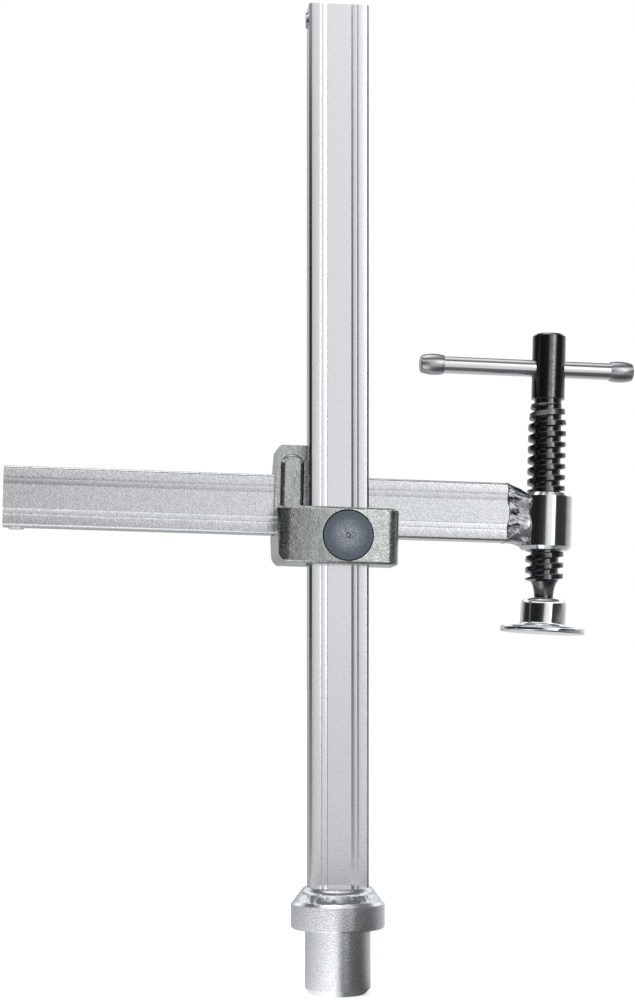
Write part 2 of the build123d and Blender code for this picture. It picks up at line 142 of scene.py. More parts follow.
@dataclass(frozen=True, kw_only=True)
class MetalFinish:
    """A metal surface whose patterns are sized in real millimetres.

    Attributes:
        name: What the surface is.
        light: Colour of its lighter patches.
        dark: Colour of its darker patches.
        roughness: Middle roughness.
        roughness_spread: How far the roughness swings round its middle.
        patch_mm: Size of the light and dark patches.
        patch_stretch: How many times longer than wide a patch is, along the lay.
        grain_mm: Size of the grain that is felt as a bump.
        grain_height_mm: Height of that grain.
        grain_stretch: How many times longer than wide the grain is, along the lay.
        lay: Direction in which patches and grain are stretched.
    """

    name: str
    light: str
    dark: str
    roughness: float
    roughness_spread: float
    patch_mm: float
    patch_stretch: float = 1.0
    grain_mm: float
    grain_height_mm: float
    grain_stretch: float = 1.0
    lay: Lay = Lay.UP_THE_POST

    def pattern_place(self, tree: bpy.types.NodeTree) -> bpy.types.Node:
        """Gives the object's coordinates, turned so that Z runs along the lay.

        Args:
            tree: The material's node tree.

        Returns:
            The node that gives them.
        """
        place = add_node(tree, "ShaderNodeTexCoord").outputs["Object"]
        turned = {"Vector": place, "Rotation": (0.0, math.radians(self.lay.value), 0.0)}
        return add_node(tree, "ShaderNodeMapping", turned, vector_type="TEXTURE")

    def patches(
        self, tree: bpy.types.NodeTree, place: bpy.types.Node, size_mm: float, stretch: float
    ) -> bpy.types.Node:
        """Adds cloudy patches of a real size.

        Args:
            tree: The material's node tree.
            place: The vector that they read.
            size_mm: Size of one patch across the lay.
            stretch: How many times longer it is along the lay.

        Returns:
            The node that gives their height, from 0 to 1.
        """
        scaled = add_node(tree, "ShaderNodeMapping", {"Vector": place, "Scale": (1.0, 1.0, 1.0 / stretch)})
        cloud = {"Vector": scaled, "Scale": 1.0 / (size_mm * MM), "Detail": CLOUD_DETAIL}
        return add_node(tree, "ShaderNodeTexNoise", cloud)

    def relief(self, tree: bpy.types.NodeTree, place: bpy.types.Node) -> bpy.types.Node:
        """Adds the grain's bump over the object's coordinates and gives the bump's node."""
        grain = self.patches(tree, place, self.grain_mm, self.grain_stretch)
        return add_node(tree, "ShaderNodeBump", {"Height": grain, "Distance": self.grain_height_mm * MM})

    def tint(
        self, tree: bpy.types.NodeTree, place: bpy.types.Node, cloud: bpy.types.Node
    ) -> bpy.types.NodeSocket:
        """Adds the light and dark patches.

        Args:
            tree: The material's node tree.
            place: The vector of the pattern, which this plain finish doesn't need.
            cloud: The patches.

        Returns:
            The colour socket.
        """
        ends = {"Value": cloud, "From Min": TINT_BAND[0], "From Max": TINT_BAND[1]}
        share = add_node(tree, "ShaderNodeMapRange", ends, interpolation_type="SMOOTHSTEP")
        colours = {0: share, MIX_A: linear_colour(self.dark), MIX_B: linear_colour(self.light)}
        return add_node(tree, "ShaderNodeMix", colours, data_type="RGBA").outputs[MIX_RESULT]

    def material(self) -> bpy.types.Material:
        """Makes the material.

        Returns:
            A node material that reads object coordinates only.
        """
        made = bpy.data.materials.new(self.name)
        made.use_nodes = True
        tree = made.node_tree
        shader = tree.nodes["Principled BSDF"]
        place = self.pattern_place(tree)
        cloud = self.patches(tree, place, self.patch_mm, self.patch_stretch)
        rough, smooth = self.roughness + self.roughness_spread, self.roughness - self.roughness_spread
        ends = {"Value": cloud, "From Min": GLOSS_BAND[0], "From Max": GLOSS_BAND[1]}
        ends |= {"To Min": rough, "To Max": smooth}
        gloss = add_node(tree, "ShaderNodeMapRange", ends)
        tree.links.new(self.tint(tree, place, cloud), shader.inputs["Base Color"])
        tree.links.new(gloss.outputs["Result"], shader.inputs["Roughness"])
        tree.links.new(self.relief(tree, place).outputs["Normal"], shader.inputs["Normal"])
        shader.inputs["Metallic"].default_value = 1.0
        return made


@dataclass(frozen=True, kw_only=True)
class SpangledCastFinish(MetalFinish):
    """Cast steel that was zinced: soft lumps under a sparkling, crystalline skin.

    Attributes:
        spangle_mm: Size of one zinc crystal.
        spangle_height_mm: Height of one crystal.
        lump_mm: Size of the casting's soft lumps.
        lump_height_mm: Height of those lumps.
    """

    spangle_mm: float
    spangle_height_mm: float
    lump_mm: float
    lump_height_mm: float

    def relief(self, tree: bpy.types.NodeTree, place: bpy.types.Node) -> bpy.types.Node:
        """Adds soft lumps, crystals and grain, one over the other.

        Args:
            tree: The material's node tree.
            place: The vector that they read.

        Returns:
            The node of the last bump.
        """
        cells = {"Vector": place, "Scale": 1.0 / (self.spangle_mm * MM)}
        layers = (
            (self.patches(tree, place, self.lump_mm, 1.0), self.lump_height_mm),
            (add_node(tree, "ShaderNodeTexVoronoi", cells), self.spangle_height_mm),
            (self.patches(tree, place, self.grain_mm, self.grain_stretch), self.grain_height_mm),
        )
        under: dict[str, Any] = {}
        for height, height_mm in layers:
            links = {"Height": height, "Distance": height_mm * MM, **under}
            bump = add_node(tree, "ShaderNodeBump", links)
            under = {"Normal": bump}
        return bump


@dataclass(frozen=True, kw_only=True)
class PaintedHighlightDiscFinish(MetalFinish):
    """A round face with a painted highlight: its colour is lighter in its middle than at its rim.

    Attributes:
        rim: Colour at the rim, outside the painted highlight.
        centre_m: The disc's centre.
        highlight_mm: Radius up to which the painted highlight is at full strength.
        rim_mm: Radius from which it has its rim colour.
        ragged_mm: How far the patches push the painted highlight's edge in and out.
    """

    rim: str
    centre_m: tuple[float, float, float] = (0.0, 0.0, 0.0)
    highlight_mm: float
    rim_mm: float
    ragged_mm: float

    def tint(
        self, tree: bpy.types.NodeTree, place: bpy.types.Node, cloud: bpy.types.Node
    ) -> bpy.types.NodeSocket:
        """Adds the painted highlight in the middle over the patches.

        Args:
            tree: The material's node tree.
            place: The vector of the pattern.
            cloud: The patches, which make the painted highlight's edge uneven.

        Returns:
            The colour socket.
        """
        base = super().tint(tree, place, cloud)
        # Painted highlight: the colour is lighter near the disc's centre and turns darker out to its rim.
        flat = {0: place, 1: self.centre_m}
        off_centre = add_node(tree, "ShaderNodeVectorMath", flat, operation="SUBTRACT")
        on_face = {0: off_centre, 1: (1.0, 0.0, 1.0)}
        spoke = add_node(tree, "ShaderNodeVectorMath", on_face, operation="MULTIPLY")
        far = add_node(tree, "ShaderNodeVectorMath", {0: spoke}, operation="LENGTH").outputs["Value"]
        ragged = {0: cloud, 1: self.ragged_mm * MM, 2: far}
        uneven = add_node(tree, "ShaderNodeMath", ragged, operation="MULTIPLY_ADD")
        ends = {"Value": uneven, "From Min": self.highlight_mm * MM, "From Max": self.rim_mm * MM}
        share = add_node(tree, "ShaderNodeMapRange", ends, interpolation_type="SMOOTHSTEP")
        colours = {0: share, MIX_A: base, MIX_B: linear_colour(self.rim)}
        return add_node(tree, "ShaderNodeMix", colours, data_type="RGBA").outputs[MIX_RESULT]


# The plating's own grain is finer than a pixel of the render, so it is drawn about half a
# millimetre wide, as coarse as it needs to be to show.

# Cold-drawn bar, zinc plated: pale and satin, with a fine grain that shows near dark reflections.
POST_ZINC = MetalFinish(
    name="drawn_zinc_post", light="#D5D7DA", dark="#CED0D3", roughness=0.16, roughness_spread=0.03,
    patch_mm=0.6, patch_stretch=1.4, grain_mm=0.5, grain_height_mm=0.02, grain_stretch=1.2,
)
ARM_ZINC = MetalFinish(
    name="drawn_zinc_arm", light="#DCDEE0", dark="#BFC2C5", roughness=0.2, roughness_spread=0.04,
    patch_mm=0.55, patch_stretch=1.2, grain_mm=0.55, grain_height_mm=0.05, lay=Lay.ALONG_THE_ARM,
)
# Turned steel, zinc plated: satin, with an even grain.
TURNED_ZINC = MetalFinish(
    name="turned_zinc_foot", light="#E2E4E7", dark="#CDD0D5", roughness=0.2, roughness_spread=0.03,
    patch_mm=0.55, grain_mm=0.6, grain_height_mm=0.05,
)
# Zinced casting: grey with a hint of green, and a sparkle from the crystals of its thick zinc.
CAST_ZINC = SpangledCastFinish(
    name="zinced_casting", light="#B3B7B5", dark="#A2A7A5", roughness=0.2, roughness_spread=0.04,
    patch_mm=1.2, grain_mm=0.5, grain_height_mm=0.045,
    spangle_mm=0.6, spangle_height_mm=0.05, lump_mm=7.0, lump_height_mm=0.3,
)
# Blasted, hardened steel: bluish grey and dark, with a painted highlight that makes it lighter in its
# middle and darker at its rim.
PLUG_STEEL = PaintedHighlightDiscFinish(
    name="blasted_plug", light="#999EA2", dark="#70757C", roughness=0.28, roughness_spread=0.05,
    patch_mm=0.6, grain_mm=0.5, grain_height_mm=0.08,
    rim="#5A616A", highlight_mm=3.5, rim_mm=10.6, ragged_mm=2.5,
)
# Weld, plated with the rest: glossy where it flowed, dull in its hollows.
FOOT_WELD_ZINC = MetalFinish(
    name="plated_foot_weld", light="#D4D8DC", dark="#C3C8CD", roughness=0.22, roughness_spread=0.05,
    patch_mm=1.6, grain_mm=0.7, grain_height_mm=0.05,
)
ARM_WELD_ZINC = MetalFinish(
    name="plated_arm_weld", light="#C2C4C7", dark="#9A9DA1", roughness=0.15, roughness_spread=0.05,
    patch_mm=1.6, grain_mm=0.6, grain_height_mm=0.01,
)
# Turned and bright plated: nearly a mirror.
BRIGHT_PLATE = MetalFinish(
    name="bright_plate", light="#E6E7E9", dark="#DADCDE", roughness=0.07, roughness_spread=0.02,
    patch_mm=3.0, grain_mm=1.2, grain_height_mm=0.002,
)
# Black oxide in oil: near black, with sharp highlights.
BLACK_OXIDE = MetalFinish(
    name="black_oxide", light="#767678", dark="#636365", roughness=0.16, roughness_spread=0.03,
    patch_mm=0.9, grain_mm=0.5, grain_height_mm=0.006,
)
# Drawn bar steel: polished, lightly streaked along its length.
BAR_STEEL = MetalFinish(
    name="polished_bar_steel", light="#DCDCDD", dark="#D6D6D7", roughness=0.16, roughness_spread=0.02,
    patch_mm=0.4, patch_stretch=30.0, grain_mm=0.4, grain_height_mm=0.001, grain_stretch=20.0,
    lay=Lay.ALONG_THE_ARM,
)
# Pressed steel caps: tumbled, duller than the bar.
CAP_STEEL = MetalFinish(
    name="tumbled_caps", light="#B8B9BA", dark="#B0B1B2", roughness=0.27, roughness_spread=0.03,
    patch_mm=0.6, grain_mm=0.5, grain_height_mm=0.003,
)
# Spring wire, inside the pad: grey and dull.
SPRING_WIRE = MetalFinish(
    name="spring_wire", light="#8F9193", dark="#6C6E70", roughness=0.3, roughness_spread=0.05,
    patch_mm=0.3, grain_mm=0.2, grain_height_mm=0.004,
)


def merged_copy(node: str, name: str) -> bpy.types.Object:
    """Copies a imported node's faces into a new piece whose doubled corners are merged.

    Args:
        node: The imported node.
        name: The new piece's name.

    Returns:
        The new piece, at the origin like the node.
    """
    source = bpy.data.objects[node].data
    mesh = bpy.data.meshes.new(name)
    corners = [corner.co for corner in source.vertices]
    mesh.from_pydata(corners, [], [tuple(face.vertices) for face in source.polygons])
    merged = bmesh.new()
    merged.from_mesh(mesh)
    bmesh.ops.remove_doubles(merged, verts=merged.verts, dist=MERGE_MM * MM)
    merged.to_mesh(mesh)
    merged.free()
    piece = bpy.data.objects.new(name, mesh)
    bpy.context.collection.objects.link(piece)
    return piece


def baked_mesh(piece: bpy.types.Object) -> bpy.types.Object:
    """Turns a piece with live modifiers into one with a plain mesh.

    Args:
        piece: The object whose modifiers are applied.

    Returns:
        The same object, with its modifiers gone.
    """
    bpy.context.view_layer.update()
    ready = piece.evaluated_get(bpy.context.evaluated_depsgraph_get())
    mesh = bpy.data.meshes.new_from_object(ready)
    piece.modifiers.clear()
    piece.data = mesh
    return piece


@dataclass
class SmoothSkin:
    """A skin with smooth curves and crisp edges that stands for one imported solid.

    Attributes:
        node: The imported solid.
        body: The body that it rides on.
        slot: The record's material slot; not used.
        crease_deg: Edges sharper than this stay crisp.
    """

    node: str
    body: str
    slot: str
    crease_deg: float = 34.0

    def build(self, finish: bpy.types.Material) -> bpy.types.Object:
        """Makes the skin, dresses it and lets it ride.

        Args:
            finish: Its material.

        Returns:
            The new piece.
        """
        piece = merged_copy(self.node, f"{self.node}_skin")
        piece.data.shade_smooth()
        piece.data.set_sharp_from_angle(angle=math.radians(self.crease_deg))
        even = piece.modifiers.new("even_shading", "WEIGHTED_NORMAL")
        even.keep_sharp = True
        baked_mesh(piece)
        piece.data.materials.clear()
        piece.data.materials.append(finish)
        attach(piece, self.body)
        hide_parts(self.node)
        return piece


def tree_with_inputs(
    name: str, sizes: dict[str, float], finish: bpy.types.Material
) -> tuple[bpy.types.NodeTree, bpy.types.Node, bpy.types.Node]:
    """Starts a geometry tree with a named input for each size.

    Args:
        name: The tree's name.
        sizes: Input name to its value.
        finish: The default of its material input.

    Returns:
        The tree, its group input node and its group output node.
    """
    tree = bpy.data.node_groups.new(name, "GeometryNodeTree")
    tree.interface.new_socket("Geometry", in_out="INPUT", socket_type="NodeSocketGeometry")
    tree.interface.new_socket("Geometry", in_out="OUTPUT", socket_type="NodeSocketGeometry")
    for label, value in sizes.items():
        held = tree.interface.new_socket(label, in_out="INPUT", socket_type="NodeSocketFloat")
        held.default_value = value
    dressing = tree.interface.new_socket("Finish", in_out="INPUT", socket_type="NodeSocketMaterial")
    dressing.default_value = finish
    return tree, add_node(tree, "NodeGroupInput"), add_node(tree, "NodeGroupOutput")


def end_tree(
    tree: bpy.types.NodeTree, shape: bpy.types.Node, given: bpy.types.Node, out: bpy.types.Node
) -> None:
    """Ends a geometry tree with smooth shading, real faces and its material.

    Args:
        tree: The geometry tree.
        shape: The node that gives the geometry.
        given: The group input node.
        out: The group output node.
    """
    smooth = add_node(tree, "GeometryNodeSetShadeSmooth", {"Geometry": shape})
    real = add_node(tree, "GeometryNodeRealizeInstances", {"Geometry": smooth})
    dressed = {"Geometry": real, "Material": given.outputs["Finish"]}
    tree.links.new(add_node(tree, "GeometryNodeSetMaterial", dressed).outputs[0], out.inputs[0])


def run_tree(
    piece: bpy.types.Object, tree: bpy.types.NodeTree, values: dict[str, Any]
) -> bpy.types.Object:
    """Runs a geometry tree on a piece and keeps its result as a plain mesh.

    Args:
        piece: The object that the tree starts from.
        tree: The geometry tree.
        values: Input name to its value, set by the socket's identifier.

    Returns:
        The piece with its new mesh.
    """
    step = piece.modifiers.new(tree.name, "NODES")
    step.node_group = tree
    for socket in tree.interface.items_tree:
        if getattr(socket, "in_out", "") == "INPUT" and socket.name in values:
            step[socket.identifier] = values[socket.name]
    return baked_mesh(piece)


@dataclass
class PostWeld:
    """The weld between the post and its foot: a thin, rippled ring down the cone.

    Attributes:
        foot_radius_mm: Radius at the ring's lower edge.
        foot_height_mm: Height of its lower edge.
        crown_radius_mm: Radius at its upper edge.
        crown_height_mm: Height of its upper edge.
        thickness_mm: Half of the ring's thickness.
        ripples: Number of ripples round the ring.
        ripple_mm: Height of one ripple.
        steps_per_ripple: Faces along one ripple.
        steps_over_bead: Faces round the bead's section.
        bow: How far a ripple's middle runs ahead of its ends, in radians of its wave.
        wander_mm: Height of the uneven hand work.
        wander_lumps: Lumps of that hand work in a length of one radius.
        wander_depth: How much it differs between the ring's two edges, as a share of the radius.
        wander_beat: How far it shifts the ripples, in radians of their wave.
        fold_at_deg: Where the bead's end lies over its start, round from +X.
        fold_width_deg: Width of that fold.
        fold_mm: Its height.
        seam_mm: Corners nearer than this are joined where the bent grid meets itself.
    """

    foot_radius_mm: float = 19.0
    foot_height_mm: float = 10.9
    crown_radius_mm: float = 13.7
    crown_height_mm: float = 17.3
    thickness_mm: float = 0.2
    ripples: int = 40
    ripple_mm: float = 0.06
    steps_per_ripple: int = 12
    steps_over_bead: int = 32
    bow: float = 1.5
    wander_mm: float = 0.5
    wander_lumps: float = 4.0
    wander_depth: float = 0.3
    wander_beat: float = 9.0
    fold_at_deg: float = 232.0
    fold_width_deg: float = 20.0
    fold_mm: float = 0.3
    seam_mm: float = 0.005

    def tree(self, finish: bpy.types.Material) -> bpy.types.NodeTree:
        """Builds the tree that bends a grid into the rippled ring.

        Args:
            finish: The weld's material.

        Returns:
            The geometry tree.
        """
        lift = self.crown_height_mm - self.foot_height_mm
        run = self.foot_radius_mm - self.crown_radius_mm
        sizes = {
            "Middle Radius": (self.foot_radius_mm + self.crown_radius_mm) / 2 * MM,
            "Middle Height": (self.foot_height_mm + self.crown_height_mm) / 2 * MM,
            "Half Length": math.hypot(lift, run) / 2 * MM,
            "Half Thickness": self.thickness_mm * MM,
            "Lean": -math.atan2(lift, -run),
            "Ripples": float(self.ripples),
            "Ripple Height": self.ripple_mm * MM,
            "Wander": self.wander_mm * MM,
            "Fold At": math.radians(self.fold_at_deg),
            "Fold Width": math.radians(self.fold_width_deg),
            "Fold Height": self.fold_mm * MM,
        }
        tree, given, out = tree_with_inputs("rippled_ring_weld", sizes, finish)
        size = given.outputs
        columns, rows = self.ripples * self.steps_per_ripple + 1, self.steps_over_bead + 1
        sheet = {"Size X": 1.0, "Size Y": 1.0, "Vertices X": columns, "Vertices Y": rows}
        grid = add_node(tree, "GeometryNodeMeshGrid", sheet)
        spot = add_node(tree, "ShaderNodeSeparateXYZ", {0: add_node(tree, "GeometryNodeInputPosition")})
        turn = add_node(tree, "ShaderNodeMath", {0: spot.outputs["X"], 1: FULL_TURN}, operation="MULTIPLY")
        belly = add_node(tree, "ShaderNodeMath", {0: spot.outputs["Y"], 1: FULL_TURN}, operation="MULTIPLY")
        rise = add_node(tree, "ShaderNodeMath", {0: belly}, operation="COSINE")
        depth = add_node(tree, "ShaderNodeMath", {0: belly}, operation="SINE")
        level = add_node(tree, "ShaderNodeMath", {0: rise, 1: self.wander_depth}, operation="MULTIPLY")
        spoke = {"Vector": add_node(tree, "ShaderNodeCombineXYZ", {0: 1.0, 2: level}), "Angle": turn}
        around = add_node(tree, "ShaderNodeVectorRotate", spoke, rotation_type="Z_AXIS")
        lumps = {"Vector": around, "Scale": self.wander_lumps, "Detail": HAND_DETAIL}
        hand = add_node(tree, "ShaderNodeTexNoise", lumps)
        # Each ripple is a crescent: its middle runs ahead of its two ends.
        uneven = add_node(tree, "ShaderNodeMath", {0: hand, 1: self.wander_beat}, operation="MULTIPLY")
        ahead = {0: rise, 1: self.bow, 2: uneven}
        crescent = add_node(tree, "ShaderNodeMath", ahead, operation="MULTIPLY_ADD")
        beat = {0: turn, 1: size["Ripples"], 2: crescent}
        half_beat = {0: add_node(tree, "ShaderNodeMath", beat, operation="MULTIPLY_ADD"), 1: 0.5}
        wave = {0: add_node(tree, "ShaderNodeMath", half_beat, operation="MULTIPLY")}
        swing = add_node(tree, "ShaderNodeMath", wave, operation="SINE")
        ripple = add_node(tree, "ShaderNodeMath", {0: swing}, operation="ABSOLUTE")
        past_fold = add_node(tree, "ShaderNodeMath", {0: turn, 1: size["Fold At"]}, operation="SUBTRACT")
        whole = add_node(tree, "ShaderNodeMath", {0: past_fold, 1: FULL_TURN}, operation="FLOORED_MODULO")
        ends = {"Value": whole, "From Min": 0.0, "From Max": size["Fold Width"]}
        ends |= {"To Min": 1.0, "To Max": 0.0}
        fold = add_node(tree, "ShaderNodeMapRange", ends, interpolation_type="SMOOTHSTEP")
        thick: Any = size["Half Thickness"]
        for share, height in ((ripple, "Ripple Height"), (hand, "Wander"), (fold, "Fold Height")):
            added = {0: share, 1: size[height], 2: thick}
            thick = add_node(tree, "ShaderNodeMath", added, operation="MULTIPLY_ADD")
        along = add_node(tree, "ShaderNodeMath", {0: rise, 1: size["Half Length"]}, operation="MULTIPLY")
        across = add_node(tree, "ShaderNodeMath", {0: depth, 1: thick}, operation="MULTIPLY")
        section = add_node(tree, "ShaderNodeCombineXYZ", {0: along, 2: across})
        leant = {"Vector": section, "Angle": size["Lean"]}
        leaning = add_node(tree, "ShaderNodeVectorRotate", leant, rotation_type="Y_AXIS")
        on_cone = {0: size["Middle Radius"], 2: size["Middle Height"]}
        middle = add_node(tree, "ShaderNodeCombineXYZ", on_cone)
        lifted = add_node(tree, "ShaderNodeVectorMath", {0: leaning, 1: middle}, operation="ADD")
        spun = {"Vector": lifted, "Angle": turn}
        ringed = add_node(tree, "ShaderNodeVectorRotate", spun, rotation_type="Z_AXIS")
        bent = add_node(tree, "GeometryNodeSetPosition", {"Geometry": grid, "Position": ringed})
        seam = {"Geometry": bent, "Distance": self.seam_mm * MM}
        end_tree(tree, add_node(tree, "GeometryNodeMergeByDistance", seam), given, out)
        return tree

    def build(self, finish: bpy.types.Material) -> bpy.types.Object:
        """Makes the ring and lets it ride on the base.

        Args:
            finish: The weld's material.

        Returns:
            The new piece.
        """
        piece = bpy.data.objects.new("post_weld_ripples", bpy.data.meshes.new("post_weld_ripples"))
        bpy.context.collection.objects.link(piece)
        run_tree(piece, self.tree(finish), {"Finish": finish})
        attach(piece, "base")
        return piece


@dataclass
class ArmWeld:
    """The hand-laid weld between the arm's end and the threaded sleeve.

    Attributes:
        voxel_mm: Grid of the remeshed solid.
        soft_steps: Rounds of smoothing over it.
        ripple_pitch_mm: Spacing of the weld's ripples.
        ripple_mm: Height of one ripple.
        slant: How far the ripples climb along the arm, as a share of the way.
        bend_mm: Size of the curves in which the torch was led.
        bend_height_mm: How far those curves shift the ripples.
        lump_mm: Size of the lumps.
        lump_height_mm: How far the lumps stand out.
        lobe_pitch_mm: Spacing of the weld's lobes up its height.
        lobe_mm: How far a lobe stands out.
        lap_mm: How much further its upper and lower ends run on to the arm.
        waist_mm: How much less its middle runs on to the arm.
        edge_mm: Up to this far from its edge on the arm the weld follows that lap and waist.
        fade_mm: From here on it follows them no more.
    """

    voxel_mm: float = 0.4
    soft_steps: int = 6
    ripple_pitch_mm: float = 1.5
    ripple_mm: float = 0.07
    slant: float = 0.7
    bend_mm: float = 6.25
    bend_height_mm: float = 6.0
    lump_mm: float = 6.0
    lump_height_mm: float = 1.1
    lobe_pitch_mm: float = 11.0
    lobe_mm: float = 0.5
    lap_mm: float = 0.8
    waist_mm: float = 0.9
    edge_mm: float = 1.5
    fade_mm: float = 7.0

    def tree(self, finish: bpy.types.Material) -> bpy.types.NodeTree:
        """Builds the tree that pushes the solid's skin out in lobes, lumps and ripples.

        Args:
            finish: The weld's material.

        Returns:
            The geometry tree.
        """
        low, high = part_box("arm_weld")
        sizes = {
            "Middle Height": (low[2] + high[2]) / 2,
            "Half Height": (high[2] - low[2]) / 2,
            "Arm Edge": low[0],
            "Ripple Pitch": self.ripple_pitch_mm * MM,
            "Ripple Height": self.ripple_mm * MM,
            "Bend Scale": 1.0 / (self.bend_mm * MM),
            "Bend Height": self.bend_height_mm * MM,
            "Lump Scale": 1.0 / (self.lump_mm * MM),
            "Lump Height": self.lump_height_mm * MM,
            "Lobe Pitch": self.lobe_pitch_mm * MM,
            "Lobe Height": self.lobe_mm * MM,
            "Bow Depth": (self.lap_mm + self.waist_mm) * MM,
            "Waist": -self.waist_mm * MM,
            "Edge": self.edge_mm * MM,
            "Fade": self.fade_mm * MM,
        }
        tree, given, out = tree_with_inputs("hand_laid_weld", sizes, finish)
        size = given.outputs
        where = add_node(tree, "GeometryNodeInputPosition")
        spot = add_node(tree, "ShaderNodeSeparateXYZ", {0: where})
        from_middle = {0: spot.outputs["Z"], 1: size["Middle Height"]}
        rise = add_node(tree, "ShaderNodeMath", from_middle, operation="SUBTRACT")
        # The ripples lie slantwise and wander, as the torch was led in curves.
        curves = {"Vector": where, "Scale": size["Bend Scale"], "Detail": LUMP_DETAIL}
        bend = add_node(tree, "ShaderNodeTexNoise", curves)
        tilted = {0: spot.outputs["X"], 1: self.slant, 2: rise}
        slant = add_node(tree, "ShaderNodeMath", tilted, operation="MULTIPLY_ADD")
        led = {0: bend, 1: size["Bend Height"], 2: slant}
        curve = add_node(tree, "ShaderNodeMath", led, operation="MULTIPLY_ADD")
        beats = add_node(tree, "ShaderNodeMath", {0: curve, 1: size["Ripple Pitch"]}, operation="DIVIDE")
        wave = {0: add_node(tree, "ShaderNodeMath", {0: beats, 1: math.pi}, operation="MULTIPLY")}
        swing = add_node(tree, "ShaderNodeMath", wave, operation="SINE")
        ripple = add_node(tree, "ShaderNodeMath", {0: swing}, operation="ABSOLUTE")
        blobs = {"Vector": where, "Scale": size["Lump Scale"], "Detail": LUMP_DETAIL}
        raised = {0: add_node(tree, "ShaderNodeTexNoise", blobs), 1: 0.5}
        lumps = add_node(tree, "ShaderNodeMath", raised, operation="SUBTRACT")
        lobes = add_node(tree, "ShaderNodeMath", {0: rise, 1: size["Lobe Pitch"]}, operation="DIVIDE")
        lobe_wave = {0: add_node(tree, "ShaderNodeMath", {0: lobes, 1: FULL_TURN}, operation="MULTIPLY")}
        hollow = add_node(tree, "ShaderNodeMath", lobe_wave, operation="COSINE")
        lobe = add_node(tree, "ShaderNodeMath", {0: hollow, 1: -1.0}, operation="MULTIPLY")
        proud: Any = 0.0
        for share, height in ((ripple, "Ripple Height"), (lumps, "Lump Height"), (lobe, "Lobe Height")):
            added = {0: share, 1: size[height], 2: proud}
            proud = add_node(tree, "ShaderNodeMath", added, operation="MULTIPLY_ADD")
        outwards = {0: add_node(tree, "GeometryNodeInputNormal"), "Scale": proud}
        push = add_node(tree, "ShaderNodeVectorMath", outwards, operation="SCALE")
        from_edge = {0: spot.outputs["X"], 1: size["Arm Edge"]}
        off_edge = add_node(tree, "ShaderNodeMath", from_edge, operation="SUBTRACT")
        ends = {"Value": off_edge, "From Min": size["Edge"], "From Max": size["Fade"]}
        ends |= {"To Min": 1.0, "To Max": 0.0}
        near_edge = add_node(tree, "ShaderNodeMapRange", ends, interpolation_type="SMOOTHSTEP")
        up_share = add_node(tree, "ShaderNodeMath", {0: rise, 1: size["Half Height"]}, operation="DIVIDE")
        bow = add_node(tree, "ShaderNodeMath", {0: up_share, 1: 2.0}, operation="POWER")
        swept = {0: bow, 1: size["Bow Depth"], 2: size["Waist"]}
        edge_line = add_node(tree, "ShaderNodeMath", swept, operation="MULTIPLY_ADD")
        lap = add_node(tree, "ShaderNodeMath", {0: edge_line, 1: near_edge}, operation="MULTIPLY")
        back = {0: add_node(tree, "ShaderNodeCombineXYZ", {0: lap}), "Scale": -1.0}
        drawn = add_node(tree, "ShaderNodeVectorMath", back, operation="SCALE")
        offset = add_node(tree, "ShaderNodeVectorMath", {0: push, 1: drawn}, operation="ADD")
        shape = {"Geometry": given.outputs["Geometry"], "Offset": offset}
        end_tree(tree, add_node(tree, "GeometryNodeSetPosition", shape), given, out)
        return tree

    def build(self, finish: bpy.types.Material) -> bpy.types.Object:
        """Makes the weld from its plain solid and lets it ride on the arm.

        Args:
            finish: The weld's material.

        Returns:
            The new piece.
        """
        piece = merged_copy("arm_weld", "arm_weld_beads")
        even = piece.modifiers.new("even", "REMESH")
        even.mode = "VOXEL"
        even.voxel_size = self.voxel_mm * MM
        soft = piece.modifiers.new("soft", "SMOOTH")
        soft.iterations = self.soft_steps
        baked_mesh(piece)
        run_tree(piece, self.tree(finish), {"Finish": finish})
        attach(piece, "arm")
        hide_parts("arm_weld")
        return piece


@dataclass
class Foot:
    """The upright post on its turned foot, and the weld between them.

    Attributes:
        post: The drawn bar.
        spigot: The turned foot.
        bead_core: The plain weld on the foot's cone.
        bead: The rippled ring over it.
    """

    post: SmoothSkin
    spigot: SmoothSkin
    bead_core: SmoothSkin
    bead: PostWeld

    def build(self) -> list[bpy.types.Object]:
        """Builds and dresses the post, the foot and the weld.

        Returns:
            The new pieces.
        """
        weld = FOOT_WELD_ZINC.material()
        return [
            self.post.build(POST_ZINC.material()),
            self.spigot.build(TURNED_ZINC.material()),
            self.bead_core.build(weld),
            self.bead.build(weld),
        ]


@dataclass
class Slider:
    """The cast crosspiece and its pressure plug.

    Attributes:
        casting: The crosspiece.
        plug: The plug in its front wall.
    """

    casting: SmoothSkin
    plug: SmoothSkin

    def build(self) -> list[bpy.types.Object]:
        """Builds and dresses the casting and the plug.

        Returns:
            The new pieces.
        """
        # The plug's painted highlight is centred on its face.
        low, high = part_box(self.plug.node)
        centre = tuple((a + b) / 2 for a, b in zip(low, high))
        blasted = replace(PLUG_STEEL, centre_m=centre)
        return [self.casting.build(CAST_ZINC.material()), self.plug.build(blasted.material())]


@dataclass
class Arm:
    """The arm with its threaded sleeve and the weld between them.

    Attributes:
        rail: The drawn bar.
        sleeve: The threaded sleeve.
        bead: The weld.
    """

    rail: SmoothSkin
    sleeve: SmoothSkin
    bead: ArmWeld

    def build(self) -> list[bpy.types.Object]:
        """Builds and dresses the arm, the sleeve and the weld.

        Returns:
            The new pieces.
        """
        return [
            self.rail.build(ARM_ZINC.material()),
            self.sleeve.build(BRIGHT_PLATE.material()),
            self.bead.build(ARM_WELD_ZINC.material()),
        ]


